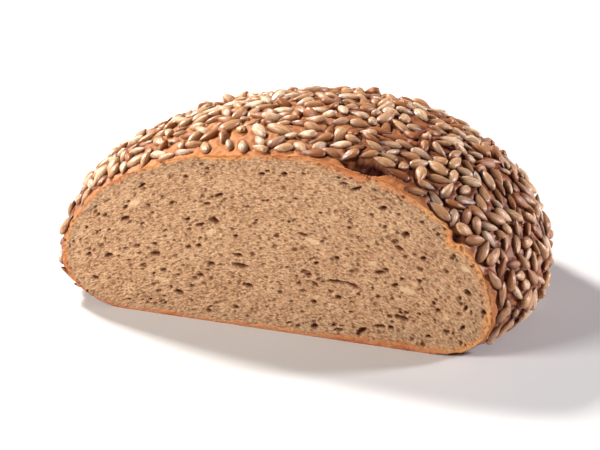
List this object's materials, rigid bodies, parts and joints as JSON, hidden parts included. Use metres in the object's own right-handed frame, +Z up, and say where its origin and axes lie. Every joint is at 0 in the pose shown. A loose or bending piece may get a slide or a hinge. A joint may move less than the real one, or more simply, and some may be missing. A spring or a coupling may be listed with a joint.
{
  "type": "cut loaf of sunflower seed bread",
  "caption": "Round crusty loaf crowded with hulled sunflower seeds, its front part sliced away, so that the flat cut shows a fine, close crumb within a thin browned crust.",
  "frame": {"origin": "centre of the bounding box's underside, on the surface that the loaf rests on", "axes": "+Z up, -Y out of the flat cut face, +X to the right of one who looks at the cut"},
  "size_m": [0.2227, 0.1554, 0.0912],
  "materials": {
    "crust": "matte, browned bread crust",
    "crumb": "matte, soft porous crumb",
    "seed": "satin, roasted hulled seed"
  },
  "bodies": {
    "root": {"loaf": "crust"}
  },
  "joints": []
}
